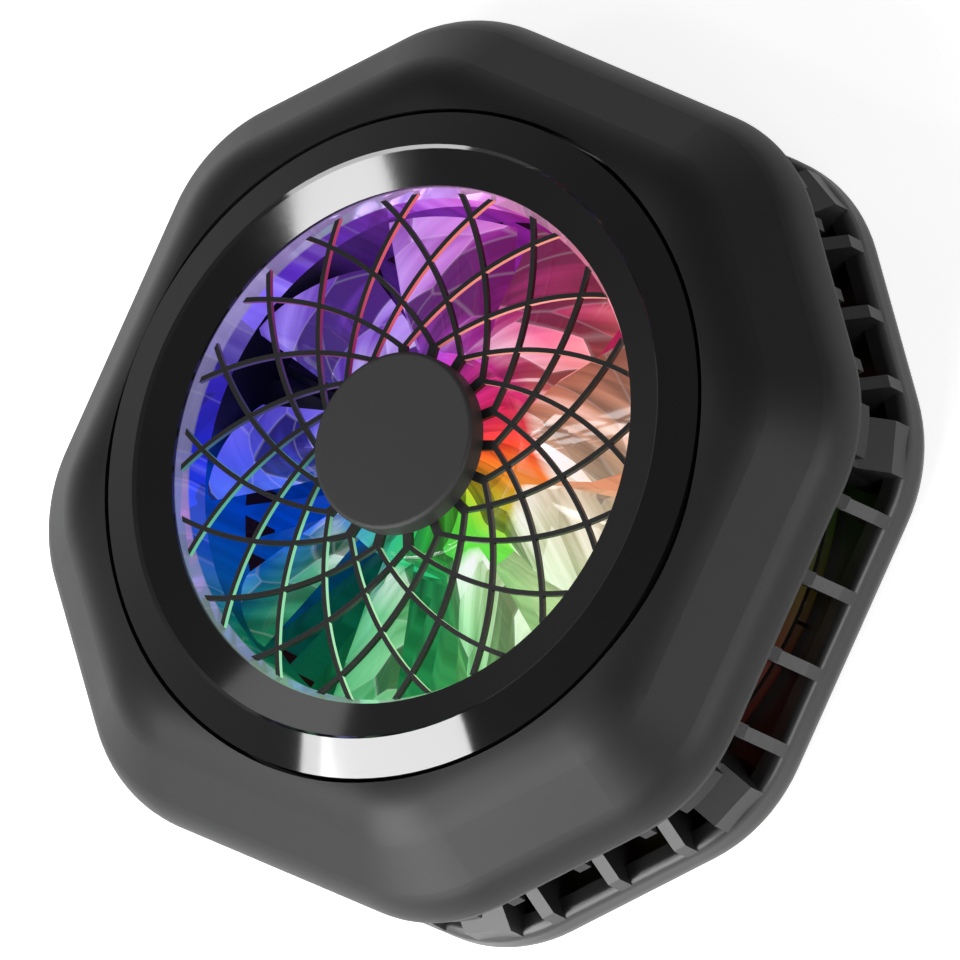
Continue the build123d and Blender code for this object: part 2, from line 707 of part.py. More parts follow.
# Grille: two mirrored hands of curved wires that cross between the hub and the light ring
flare_share = (grille_rise - light_flare_start) / (light_height - light_flare_start)
wire_reach = light_inner_radius + light_flare * flare_share - running_gap


def wire_point(radius, angle):
    """A point of a wire's curve, by its distance and turn from the wire's start."""
    return (radius * cos(radians(angle)), radius * sin(radians(angle)))


with BuildSketch() as wire:
    with BuildLine():
        ThreePointArc(
            wire_point(node_radius, 0),
            wire_point(duct_radius * wire_middle_share, wire_middle_turn),
            wire_point(duct_radius * wire_end_share, wire_end_turn),
        )
    trace(line_width=wire_width)
with BuildPart() as grille:
    with BuildSketch(Plane.XY.offset(grille_seat)):
        with PolarLocations(0, wires_per_hand, start_angle=wire_start):
            add(wire.sketch)
            add(mirror(wire.sketch, about=Plane.XZ, mode=Mode.PRIVATE))
        with PolarLocations(boss_radius - fit, wires_per_hand, start_angle=wire_start):
            Rectangle(node_radius - boss_radius + 2 * fit, 2 * wire_width, align=(Align.MIN, Align.CENTER))
        Circle(wire_reach, mode=Mode.INTERSECT)
        Circle(boss_radius)
    extrude(amount=wire_height)
    with BuildSketch(Plane.XY.offset(grille_seat - boss_drop)):
        Circle(boss_radius)
    extrude(amount=boss_drop + cap_rise)
    with BuildSketch(Plane.XY.offset(grille_seat + cap_rise)):
        Circle(cap_peg_radius + running_gap)
    extrude(amount=-cap_peg_length - fit, mode=Mode.SUBTRACT)

# Hub cap: plain disc on a peg
with BuildPart() as hub_cap:
    with BuildSketch(Plane.XY.offset(grille_seat + cap_rise)):
        Circle(cap_radius)
    extrude(amount=cap_thickness)
    fillet(hub_cap.edges().group_by(Axis.Z)[-1], cap_edge)
    with BuildSketch(Plane.XY.offset(grille_seat + cap_rise)):
        Circle(cap_peg_radius)
    extrude(amount=-cap_peg_length)

# Control board behind the socket's block, with its chips and the power socket
with BuildPart() as control_board:
    with BuildSketch(Plane.XY.offset(board_bottom)):
        with Locations((0, port_back)):
            Rectangle(control_board_width, socket_back - port_back, align=(Align.CENTER, Align.MIN))
    extrude(amount=pcb_thickness)
with BuildPart() as board_chips:
    chip_x = socket_width / 2 + fit + chip_width / 2
    with BuildSketch(Plane.XY.offset(socket_bottom)):
        with Locations((-chip_x, port_back + fit), (chip_x, port_back + fit)):
            Rectangle(chip_width, chip_length, align=(Align.CENTER, Align.MIN))
    extrude(amount=chip_height)


def socket_outline(inset):
    """The power socket's rounded outline, drawn in by an inset."""
    with BuildSketch() as outline:
        RectangleRounded(
            socket_width - 2 * inset, socket_height - 2 * inset, socket_height / 2 - inset - running_gap
        )
    return outline.sketch


with BuildPart() as socket_shell:
    with BuildSketch(Plane.XZ.offset(-socket_back)):
        with Locations((0, socket_middle)):
            add(socket_outline(0))
    extrude(amount=socket_depth)
    with BuildSketch(Plane.XZ.offset(-socket_back + socket_sheet)):
        with Locations((0, socket_middle)):
            add(socket_outline(socket_sheet))
    extrude(amount=socket_depth, mode=Mode.SUBTRACT)
with BuildPart() as socket_tongue:
    with BuildSketch(Plane.XZ.offset(-socket_back + socket_sheet)):
        with Locations((0, socket_middle)):
            add(socket_outline(socket_sheet))
    extrude(amount=tongue_base)
    with BuildSketch(Plane.XZ.offset(-socket_back + socket_sheet)):
        with Locations((0, socket_middle)):
            Rectangle(tongue_width, tongue_height)
    extrude(amount=socket_depth - socket_sheet - tongue_base)


def screw(head_radius, head_height, radius, length):
    """A pan-head screw with a cross recess, its head's seat at the origin and its tip at -Z."""
    with BuildPart() as made:
        with BuildSketch():
            Circle(head_radius)
        extrude(amount=head_height)
        fillet(made.edges().group_by(Axis.Z)[-1], head_height / 3)
        with BuildSketch():
            Circle(radius)
        extrude(amount=-length)
        with BuildSketch(Plane.XY.offset(head_height)):
            Rectangle(head_radius, recess_width)
            Rectangle(recess_width, head_radius)
        extrude(amount=-recess_depth, mode=Mode.SUBTRACT)
    return made.part


# Screws: through the rear cover into the front cover, sink to rear cover, fan frame to sink
housing_head_seat = back_height + counterbore_depth
with BuildPart() as housing_screws:
    with Locations(*upside_down(housing_head_seat)):
        add(screw(screw_head_radius, screw_head_height, screw_radius, meet_height + screw_bite - housing_head_seat))
with BuildPart() as sink_screws:
    with Locations((0, 0, fin_bottom)):
        with PolarLocations(sink_boss_place, sink_screw_count, start_angle=sink_screw_turn):
            add(screw(small_head_radius, small_head_height, small_screw_radius, fin_bottom - floor_height - fit))
with BuildPart() as fan_screws:
    with Locations((0, 0, duct_bottom)):
        with PolarLocations(fan_screw_place, strut_count, start_angle=fan_screw_turn):
            add(screw(small_head_radius, small_head_height, small_screw_radius, frame_plate + small_screw_bite))

pieces = {
    "front_cover": front_cover,
    "trim_ring": trim_ring,
    "grille": grille,
    "hub_cap": hub_cap,
    "light_ring": light_ring,
    "led_board": led_board,
    "leds": leds,
    "fan_frame": fan_frame,
    "impeller": impeller,
    "rotor_yoke": rotor_yoke,
    "rotor_magnet": rotor_magnet,
    "shaft": shaft,
    "bearing": bearing,
    "retaining_clip": retaining_clip,
    "stator_core": stator_core,
    "stator_coils": stator_coils,
    "motor_board": motor_board,
    "heat_sink": heat_sink,
    "hot_ceramic": hot_ceramic,
    "pellets": pellets,
    "cold_ceramic": cold_ceramic,
    "insulation_frame": insulation_frame,
    "cold_plate": cold_plate,
    "contact_pad": contact_pad,
    "magnets": magnets,
    "shunt_ring": shunt_ring,
    "control_board": control_board,
    "board_chips": board_chips,
    "socket_shell": socket_shell,
    "socket_tongue": socket_tongue,
    "rear_cover": rear_cover,
    "housing_screws": housing_screws,
    "sink_screws": sink_screws,
    "fan_screws": fan_screws,
}
os.makedirs("parts", exist_ok=True)
for name, piece in pieces.items():
    piece.part.label = name
    export_step(piece.part, f"parts/{name}.step")
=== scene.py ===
"""Looks of a phone cooling fan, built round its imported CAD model. Metres, with +Z out of the fan's front."""

import bpy
import numpy as np
from mathutils import Matrix


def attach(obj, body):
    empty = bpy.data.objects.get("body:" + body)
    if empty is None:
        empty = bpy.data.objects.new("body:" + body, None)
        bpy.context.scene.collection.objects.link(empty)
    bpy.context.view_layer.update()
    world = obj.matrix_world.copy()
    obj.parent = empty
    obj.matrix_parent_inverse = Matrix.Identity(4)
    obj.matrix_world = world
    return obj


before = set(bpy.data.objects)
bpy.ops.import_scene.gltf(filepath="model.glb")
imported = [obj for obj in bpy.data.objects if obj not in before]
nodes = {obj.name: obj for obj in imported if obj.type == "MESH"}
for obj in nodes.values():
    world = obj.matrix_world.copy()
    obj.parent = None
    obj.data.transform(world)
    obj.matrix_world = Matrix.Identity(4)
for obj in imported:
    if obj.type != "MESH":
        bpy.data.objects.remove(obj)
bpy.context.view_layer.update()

# Front cover and rear cover: two mouldings in one black ABS, spark-eroded to a fine, even matt.
# The cover closes over the fan from the front, and the tray carries the vent ribs behind it.
MM = 0.001
FINE_GRAIN, SLOW_SHADE, WEAR_PATCHES = 4200.0, 90.0, 420.0  # noise per metre
GRAIN_RELIEF = 0.03 * MM
RUBBED_WIDTH, RUBBED_SHARE, RUBBED_PALER = 0.15 * MM, 0.6, 2.2
RUBBED_TURN, RUBBED_NOISE = (0.985, 0.80), (0.40, 0.62)  # cosine and noise, from unworn to fully worn


def start_material(name):
    """A new node material, with its tree and its Principled shader."""
    made = bpy.data.materials.new(name)
    made.use_nodes = True
    tree = made.node_tree
    return made, tree, tree.nodes["Principled BSDF"]


def feed(tree, socket, value):
    """Gives an input socket another node's output, a colour, a vector or a number."""
    if isinstance(value, bpy.types.NodeSocket):
        tree.links.new(value, socket)
    elif socket.type == "RGBA":
        socket.default_value = (*value, 1.0)
    else:
        socket.default_value = value


def set_inputs(tree, node, **values):
    """Feeds a node's input sockets by name, where an underscore stands for a space."""
    for name, value in values.items():
        feed(tree, node.inputs[name.replace("_", " ")], value)


def add_node(tree, kind, **values):
    """A new shader node of a kind, with its inputs fed."""
    node = tree.nodes.new("ShaderNode" + kind)
    set_inputs(tree, node, **values)
    return node


def calculate(tree, operation, *operands, clamp=False):
    """The result of a Math node on numbers and other nodes' outputs."""
    node = add_node(tree, "Math")
    node.operation = operation
    node.use_clamp = clamp
    for socket, operand in zip(node.inputs, operands):
        feed(tree, socket, operand)
    return node.outputs[0]


def calculate_vector(tree, operation, first, second=None):
    """The result of a Vector Math node: a vector, or a number where the operation gives one."""
    node = add_node(tree, "VectorMath")
    node.operation = operation
    feed(tree, node.inputs[0], first)
    if second is not None:
        feed(tree, node.inputs["Scale" if operation == "SCALE" else 1], second)
    return node.outputs["Value" if operation in ("DOT_PRODUCT", "LENGTH") else "Vector"]


def map_range(tree, value, start, end, low=0.0, high=1.0):
    """A value stretched so that start gives low and end gives high, and held between the two."""
    node = add_node(tree, "MapRange", Value=value, From_Min=start, From_Max=end, To_Min=low, To_Max=high)
    return node.outputs["Result"]


def mix_colours(tree, factor, first, second):
    """A colour between two, by a factor."""
    node = add_node(tree, "Mix")
    node.data_type = "RGBA"
    for index, value in ((0, factor), (6, first), (7, second)):
        feed(tree, node.inputs[index], value)
    return node.outputs[2]


def object_place(tree):
    """A point's place on the object."""
    return add_node(tree, "TexCoord").outputs["Object"]


def noise(tree, place, scale, detail=2.0):
    """A noise's height over places."""
    return add_node(tree, "TexNoise", Vector=place, Scale=scale, Detail=detail).outputs["Fac"]


def start_group(name, inputs, outputs):
    """A new shader node group with float inputs at their values and outputs by name and kind.

    Gives the group, its inputs' sockets and the node that takes its outputs."""
    group = bpy.data.node_groups.new(name, "ShaderNodeTree")
    for socket, value in inputs:
        made = group.interface.new_socket(socket, in_out="INPUT", socket_type="NodeSocketFloat")
        made.default_value = value
    for socket, kind in outputs:
        group.interface.new_socket(socket, in_out="OUTPUT", socket_type="NodeSocket" + kind)
    return group, group.nodes.new("NodeGroupInput").outputs, group.nodes.new("NodeGroupOutput")


def place_group(tree, group, **values):
    """The outputs of a group that is put into a tree, with values for its inputs."""
    node = add_node(tree, "Group")
    node.node_tree = group
    set_inputs(tree, node, **values)
    return node.outputs


def moulded_grain():
    """Group: fine moulded grain. Roughness and shade wander slowly, and a fine noise gives the bump's height."""
    group, start, end = start_group(
        "moulded_grain", (("Grain size", 1.0), ("Roughness", 0.4), ("Wander", 0.08)),
        (("Height", "Float"), ("Roughness", "Float"), ("Shade", "Float")))
    place = object_place(group)
    fine = noise(group, place, calculate(group, "DIVIDE", FINE_GRAIN, start["Grain size"]), 3.0)
    slow = noise(group, place, SLOW_SHADE)
    offset = calculate(group, "SUBTRACT", slow, 0.5)
    rough = calculate(group, "MULTIPLY_ADD", offset, start["Wander"], start["Roughness"])
    set_inputs(group, end, Height=fine, Roughness=rough, Shade=slow)
    return group


def edge_wear():
    """Group: where sharp edges have rubbed, from how far a bevelled normal turns away, broken up by noise."""
    group, start, end = start_group("edge_wear", (("Width", RUBBED_WIDTH), ("Amount", 1.0)), (("Mask", "Float"),))
    bevel = add_node(group, "Bevel", Radius=start["Width"])
    bevel.samples = 4
    surface = add_node(group, "NewGeometry").outputs["Normal"]
    along = calculate_vector(group, "DOT_PRODUCT", bevel.outputs["Normal"], surface)
    turned = map_range(group, along, *RUBBED_TURN)
    kept = map_range(group, noise(group, object_place(group), WEAR_PATCHES, 3.0), *RUBBED_NOISE)
    share = calculate(group, "MULTIPLY", turned, kept)
    set_inputs(group, end, Mask=calculate(group, "MULTIPLY", share, start["Amount"]))
    return group


grain = moulded_grain()
wear = edge_wear()


def moulded(name, dark, light, roughness, grain_size=1.0, bump=0.12, worn=None, **sockets):
    """Moulded or cast stuff: colour wanders from dark to light, grain drives roughness and bump, worn edges pale."""
    made, tree, shader = start_material(name)
    texture = place_group(tree, grain, Grain_size=grain_size, Roughness=roughness)
    rubbed = place_group(tree, wear, Amount=RUBBED_SHARE)["Mask"]
    colour = mix_colours(tree, texture["Shade"], dark, light)
    paler = mix_colours(tree, rubbed, colour, worn or tuple(RUBBED_PALER * part for part in light))
    raised = add_node(tree, "Bump", Strength=bump, Distance=GRAIN_RELIEF, Height=texture["Height"])
    set_inputs(tree, shader, Base_Color=paler, Roughness=texture["Roughness"], Normal=raised.outputs["Normal"],
               **sockets)
    return made


def finish_nodes(material, *names):
    """Gives CAD nodes one material in place of their own."""
    for name in names:
        nodes[name].data.materials.clear()
        nodes[name].data.materials.append(material)


cover_black = moulded("cover_black", (0.0065, 0.0065, 0.0068), (0.0085, 0.0085, 0.0089), 0.46,
                      Specular_IOR_Level=0.40)
tray_black = moulded("tray_black", (0.0110, 0.0110, 0.0114), (0.0150, 0.0150, 0.0156), 0.36, 1.3, 0.15,
                     Specular_IOR_Level=0.80)
finish_nodes(cover_black, "front_cover")
finish_nodes(tray_black, "rear_cover")

# Trim ring: gloss black moulding with a polished crest between two sloped bands.
# It is pressed down over the light ring and its flange holds it under the cover.
trim_black = moulded("trim_black", (0.0035, 0.0035, 0.0038), (0.0050, 0.0050, 0.0054), 0.07, 2.0, 0.015,
                     IOR=1.7)
finish_nodes(trim_black, "trim_ring")

# Light ring: clear ring round the throat, lit from outside by the LEDs, each in its own colour; that light is
# painted on it as glow.
# The LEDs run once through the rainbow round the ring, so its painted glow follows the angle about the axis.
# Its polished wall mirrors the grille, tinted in the same painted colours, and the painted glow on its flare is
# paler than on the wall.
# Painted light in clear plastic: shards and streaks set the painted glow from deep to bright, and some of it turns
# to painted glare.
SHARD_EDGE, SHARD_FALL = 0.03, -0.45  # width of a shard's edge, and its shade's change to its middle, in cells
STREAK_FINENESS, STREAK_STRETCH, STREAK_SHARE = 3.0, 0.16, 0.9
DEPTH_LEVELS, GLARE_LEVELS = (0.1, 0.95), (0.35, 0.95)  # of shards and streaks together
HUB_FADE = 9.5 * MM, 8.4 * MM  # radii over which the LEDs' colours turn to the hub's
GLARE_FADE = 12.5 * MM, 9.8 * MM  # radii over which the shards round the hub turn whiter
GLARE, GLARE_ROUND_HUB, GLARE_ON_EDGES = (0.93, 0.91, 0.98), 0.45, 0.10
FLARE_HEIGHTS, FLARE_SHARE, FLARE_PAINTED_PALE = (20.1 * MM, 20.3 * MM), 0.28, (0.93, 0.88, 1.0)


def colour_ramp(tree, value, stops):
    """The outputs of a Color Ramp over a value, from stops of a position and a colour with its alpha."""
    ramp = add_node(tree, "ValToRGB", Fac=value)
    marks = ramp.color_ramp.elements
    while len(marks) < len(stops):
        marks.new(0.5)
    for mark, (position, colour) in zip(marks, stops):
        mark.position = position
        mark.color = colour
    return ramp.outputs


def painted_light_by_angle(name, stops):
    """Group: a colour of painted light and a share of painted glare at a point, from its angle about the Z axis.

    A stop is an angle in degrees from +X, linear red, green and blue, and the share of painted glare where it is
    used."""
    group, _, end = start_group(name, (), (("Color", "Color"), ("Whiteness", "Float")))
    turn = add_node(group, "TexGradient", Vector=object_place(group))
    turn.gradient_type = "RADIAL"
    ramp = colour_ramp(group, turn.outputs["Fac"], [
        (angle / 360 + 0.5, (red, green, blue, *(whiteness or (1.0,))))
        for angle, red, green, blue, *whiteness in stops])
    set_inputs(group, end, Color=ramp["Color"], Whiteness=ramp["Alpha"])
    return group


# Painted LED light: its colours round the axis, with the share of painted glare, and the hub wall's deeper painted
# glow.
painted_led_light = painted_light_by_angle("painted_led_light", (
    (-180, 0.60, 0.025, 0.30, 0.10), (-158, 0.46, 0.045, 0.56, 0.24), (-135, 0.29, 0.075, 0.72, 0.36),
    (-112, 0.18, 0.060, 0.72, 0.24), (-90, 0.09, 0.05, 0.66, 0.10), (-70, 0.03, 0.05, 0.68, 0.05),
    (-52, 0.005, 0.10, 0.64, 0.05), (-40, 0.004, 0.17, 0.34, 0.05), (-28, 0.004, 0.22, 0.13, 0.05),
    (-8, 0.01, 0.32, 0.09, 0.10), (14, 0.05, 0.46, 0.13, 0.18), (34, 0.16, 0.62, 0.18, 0.30),
    (52, 0.38, 0.76, 0.26, 0.48), (72, 0.68, 0.82, 0.42, 0.62), (90, 0.90, 0.78, 0.50, 0.66),
    (106, 0.96, 0.62, 0.40, 0.62), (122, 0.98, 0.45, 0.28, 0.54), (140, 0.95, 0.24, 0.15, 0.38),
    (158, 0.74, 0.050, 0.17, 0.15), (180, 0.60, 0.025, 0.30, 0.10)))
painted_hub_glow = painted_light_by_angle("painted_hub_glow", (
    (-180, 0.50, 0.03, 0.30), (-150, 0.30, 0.05, 0.60), (-110, 0.12, 0.06, 0.65), (-60, 0.03, 0.06, 0.60),
    (-30, 0.05, 0.25, 0.50), (0, 0.02, 0.35, 0.20), (30, 0.02, 0.45, 0.05), (62, 0.10, 0.55, 0.03),
    (82, 0.55, 0.50, 0.02), (98, 0.85, 0.25, 0.02), (115, 0.85, 0.06, 0.02), (140, 0.70, 0.02, 0.10),
    (180, 0.50, 0.03, 0.30)))


def off_axis(tree):
    """A point's place square to the Z axis."""
    return calculate_vector(tree, "MULTIPLY", object_place(tree), (1.0, 1.0, 0.0))


def painted_light_shards():
    """Group: painted facets and streaks of light caught in clear plastic, about the Z axis.

    A point's unit vector from the axis, turned further the farther out it is, is scaled and set beside its
    radius. Cells over that space are shards that lean along the blades, with a random painted shade and thin edges."""
    group, start, end = start_group(
        "painted_light_shards", (("Around", 4.0), ("Outward", 180.0), ("Swirl", 40.0)),
        (("Shade", "Float"), ("Streak", "Float"), ("Edge", "Float"), ("Radius", "Float")))
    flat = off_axis(group)
    radius = calculate_vector(group, "LENGTH", flat)
    leaned = add_node(group, "VectorRotate", Vector=calculate_vector(group, "NORMALIZE", flat),
                      Angle=calculate(group, "MULTIPLY", radius, start["Swirl"]))
    leaned.rotation_type = "Z_AXIS"
    spread = calculate_vector(group, "SCALE", leaned.outputs["Vector"], start["Around"])
    lift = add_node(group, "CombineXYZ", Z=calculate(group, "MULTIPLY", radius, start["Outward"]))
    cell_place = calculate_vector(group, "ADD", spread, lift.outputs["Vector"])
    cells = add_node(group, "TexVoronoi", Vector=cell_place, Scale=1.0).outputs
    borders = add_node(group, "TexVoronoi", Vector=cell_place, Scale=1.0)
    borders.feature = "DISTANCE_TO_EDGE"
    chance = add_node(group, "SeparateColor", Color=cells["Color"]).outputs["Red"]
    fall = calculate(group, "MULTIPLY_ADD", cells["Distance"], SHARD_FALL, 0.2)
    stretched = calculate_vector(group, "MULTIPLY", cell_place, (1.0, 1.0, STREAK_STRETCH))
    set_inputs(group, end, Shade=calculate(group, "ADD", chance, fall), Radius=radius,
               Streak=noise(group, stretched, STREAK_FINENESS),
               Edge=map_range(group, borders.outputs["Distance"], SHARD_EDGE, 0.0))
    return group


shards = painted_light_shards()


def painted_glow_plastic(name, deepest, brightest, glow, around, outward, swirl, **sockets):
    """Clear plastic with the LEDs' light painted on as glow: shards and streaks run it from deep to bright,
    and some to a painted white glare.

    Near the axis the colours turn to those of the hub's wall, whose painted glow is deeper."""
    made, tree, shader = start_material(name)
    lit = place_group(tree, painted_led_light)
    facets = place_group(tree, shards, Around=around, Outward=outward, Swirl=swirl)
    streaks = calculate(tree, "MULTIPLY_ADD", facets["Streak"], STREAK_SHARE, -STREAK_SHARE / 2)
    level = calculate(tree, "ADD", facets["Shade"], streaks)
    at_hub = map_range(tree, facets["Radius"], *HUB_FADE)
    colour = mix_colours(tree, at_hub, lit["Color"], place_group(tree, painted_hub_glow)["Color"])
    deep = calculate_vector(tree, "SCALE", colour, map_range(tree, level, *DEPTH_LEVELS, deepest, brightest))
    round_hub = map_range(tree, facets["Radius"], *GLARE_FADE, 0.0, GLARE_ROUND_HUB)
    # Painted glare: where the painted glow turns white, by the LEDs' share, round the hub and on the shards' edges.
    glare_share = calculate(tree, "ADD", lit["Whiteness"], round_hub)
    white = calculate(tree, "MULTIPLY", glare_share, map_range(tree, level, *GLARE_LEVELS))
    edged = calculate(tree, "MULTIPLY_ADD", facets["Edge"], GLARE_ON_EDGES, white)
    kept = calculate(tree, "MULTIPLY", edged, calculate(tree, "SUBTRACT", 1.0, at_hub), clamp=True)
    # The painted light goes in as emission over a near-black base.
    set_inputs(tree, shader, Base_Color=(0.02, 0.02, 0.02), Emission_Color=mix_colours(tree, kept, deep, GLARE),
               Emission_Strength=glow, **sockets)
    return made


light_clear = painted_glow_plastic("light_clear", 0.55, 1.1, 0.5, 5.0, 0.0, 0.0, Roughness=0.05, Metallic=0.9)
tree = light_clear.node_tree
shader = tree.nodes["Principled BSDF"]
# The ring's painted glow turns paler on the flare, and it also tints the base colour of the mirroring wall.
wall_painted_glow = shader.inputs["Emission Color"].links[0].from_socket
height = add_node(tree, "SeparateXYZ", Vector=object_place(tree)).outputs["Z"]
on_flare = map_range(tree, height, *FLARE_HEIGHTS, 0.0, FLARE_SHARE)
ring_painted_glow = mix_colours(tree, on_flare, wall_painted_glow, FLARE_PAINTED_PALE)
set_inputs(tree, shader, Emission_Color=ring_painted_glow, Base_Color=ring_painted_glow)
finish_nodes(light_clear, "light_ring")

# LED board and LEDs: a ring of glass-epoxy board in green solder mask, held down by the trim ring.
# The LEDs are cast in clear white resin and soldered along its inner edge, facing the light ring.
board_green = moulded("board_green", (0.010, 0.055, 0.028), (0.018, 0.085, 0.042), 0.35, 1.5, 0.1)
led_white = moulded("led_white", (0.80, 0.80, 0.74), (0.86, 0.86, 0.80), 0.25, 1.0, 0.05)
finish_nodes(board_green, "led_board")
finish_nodes(led_white, "leds")

# Impeller: clear polycarbonate, moulded in one with its hub and pressed on the rotor's yoke and shaft.
# The LEDs' light on its twisted blades is painted on as glow, in long shards that lean the way the blades do.
blade_clear = painted_glow_plastic("blade_clear", 0.25, 1.38, 1.0, 3.6, 170.0, 55.0, Roughness=0.10,
                          Coat_Weight=0.3, Coat_Roughness=0.04)
finish_nodes(blade_clear, "impeller")

# Grille and hub cap: one dark moulding of crossed wires, and the plain matt disc on its hub.
# The wires' inward sides face the lit throat, and its light on them is painted as glints in its colours.
WIRE_FACING = -4.5 * MM, -6.5 * MM  # place off the axis times normal, from which a wire's side counts as inward
painted_wire_glints = painted_light_by_angle("painted_wire_glints", (
    (-180, 0.95, 0.30, 0.22), (-150, 0.80, 0.12, 0.14), (-125, 0.32, 0.02, 0.09), (-100, 0.06, 0.02, 0.10),
    (-75, 0.03, 0.05, 0.12), (-55, 0.10, 0.45, 0.30), (-30, 0.25, 0.72, 0.40), (0, 0.42, 0.86, 0.50),
    (35, 0.50, 0.85, 0.42), (60, 0.12, 0.20, 0.07), (90, 0.08, 0.05, 0.03), (125, 0.45, 0.16, 0.10),
    (150, 0.95, 0.42, 0.30), (180, 0.95, 0.30, 0.22)))
grille_black_painted_glints = moulded("grille_black_painted_glints", (0.008, 0.008, 0.008), (0.012, 0.012, 0.012), 0.32, 1.0, 0.05)
tree = grille_black_painted_glints.node_tree
normal = add_node(tree, "TexCoord").outputs["Normal"]
# Painted glints: the throat's colours as emission on the steep wire sides that face the axis.
inward = map_range(tree, calculate_vector(tree, "DOT_PRODUCT", off_axis(tree), normal), *WIRE_FACING)
upright = calculate(tree, "LESS_THAN", add_node(tree, "SeparateXYZ", Vector=normal).outputs["Z"], 0.5)
shown = calculate(tree, "MULTIPLY", upright, inward)
wire_painted_glint = calculate_vector(tree, "SCALE", place_group(tree, painted_wire_glints)["Color"], shown)
set_inputs(tree, tree.nodes["Principled BSDF"], Emission_Color=wire_painted_glint, Emission_Strength=0.9)
cap_grey = moulded("cap_grey", (0.025, 0.025, 0.025), (0.029, 0.029, 0.029), 0.55, 1.0, 0.10,
                   Specular_IOR_Level=0.35)
finish_nodes(grille_black_painted_glints, "grille")
finish_nodes(cap_grey, "hub_cap")

# Fan frame and heat sink: a black moulding that carries the motor, and black anodised fins under it.
# Both carry the LEDs' light as a painted, streaked glow inside the throat, except where the colours turn to blue,
# and outside it they stay dark but for a faint painted glow in the vents.
THROAT_RADIUS = 20.3 * MM
# Painted light of the LEDs by angle: in the throat, and faintly in the vents.
painted_throat_light = painted_light_by_angle("painted_throat_light", (
    (-180, 0.34, 0.005, 0.13), (-150, 0.17, 0.02, 0.36), (-130, 0.05, 0.01, 0.16), (-118, 0.0, 0.0, 0.004),
    (-78, 0.0, 0.0, 0.004), (-64, 0.0, 0.04, 0.42), (-48, 0.0, 0.06, 0.30), (-36, 0.0, 0.03, 0.04),
    (-10, 0.004, 0.13, 0.04), (15, 0.02, 0.26, 0.07), (40, 0.16, 0.46, 0.13), (62, 0.50, 0.70, 0.32),
    (90, 0.76, 0.62, 0.36), (112, 0.80, 0.28, 0.15), (135, 0.55, 0.04, 0.07), (160, 0.40, 0.005, 0.09),
    (180, 0.34, 0.005, 0.13)))
painted_vent_light = painted_light_by_angle("painted_vent_light", (
    (-180, 0.015, 0.002, 0.008), (-90, 0.002, 0.002, 0.012), (-20, 0.008, 0.002, 0.002), (0, 0.050, 0.015, 0.010),
    (30, 0.010, 0.030, 0.007), (62, 0.080, 0.010, 0.008), (82, 0.085, 0.016, 0.008), (94, 0.060, 0.040, 0.008),
    (108, 0.026, 0.055, 0.008), (124, 0.010, 0.050, 0.008), (138, 0.055, 0.010, 0.008), (180, 0.015, 0.002, 0.008)))


def add_painted_throat_glow(material):
    """Paints the LEDs' light on as glow: the throat's colours, streaked, inside its radius, and the vents' faint
    ones outside it.
    """
    tree = material.node_tree
    facets = place_group(tree, shards, Around=4.5, Outward=120.0, Swirl=-40.0)
    streaks = map_range(tree, facets["Streak"], 0.2, 0.8, 0.35, 1.3)
    inside = calculate_vector(tree, "SCALE", place_group(tree, painted_throat_light)["Color"], streaks)
    beyond = calculate(tree, "GREATER_THAN", facets["Radius"], THROAT_RADIUS)
    glow = mix_colours(tree, beyond, inside, place_group(tree, painted_vent_light)["Color"])
    set_inputs(tree, tree.nodes["Principled BSDF"], Emission_Color=glow, Emission_Strength=1.0)


frame_black = moulded("frame_black", (0.004, 0.004, 0.004), (0.006, 0.006, 0.006), 0.5)
sink_black = moulded("sink_black", (0.006, 0.006, 0.007), (0.010, 0.010, 0.011), 0.42)
add_painted_throat_glow(frame_black)
add_painted_throat_glow(sink_black)
finish_nodes(frame_black, "fan_frame")
finish_nodes(sink_black, "heat_sink")

# Motor: pressed steel yoke and ferrite ring on a ground shaft, in a bronze bearing held by a spring clip.
# The stator is a steel core with four wound copper coils, on a small round board screwed under it.
LATHE_RELIEF, WIRE_RELIEF, WIRE_FINENESS = 0.01 * MM, 0.05 * MM, 1600.0


def turned_rings():
    """Group: fine rings about the Z axis, as a lathe leaves them, from a wave over the distance to the axis."""
    group, start, end = start_group("turned_rings", (("Pitch", 0.2 * MM),), (("Height", "Float"),))
    turns = calculate(group, "DIVIDE", calculate_vector(group, "LENGTH", off_axis(group)), start["Pitch"])
    wave = calculate(group, "SINE", calculate(group, "MULTIPLY", turns, 2 * np.pi))
    set_inputs(group, end, Height=calculate(group, "MULTIPLY_ADD", wave, 0.5, 0.5))
    return group


rings = turned_rings()


def machined(name, dark, light, roughness, pitch):
    """Bare metal: the moulded recipe with a lathe's rings in place of the grain's bump."""
    made = moulded(name, dark, light, roughness, 0.8, worn=light, Metallic=1.0)
    tree = made.node_tree
    lathe = place_group(tree, rings, Pitch=pitch)
    set_inputs(tree, tree.nodes["Bump"], Height=lathe["Height"], Strength=0.25, Distance=LATHE_RELIEF)
    return made


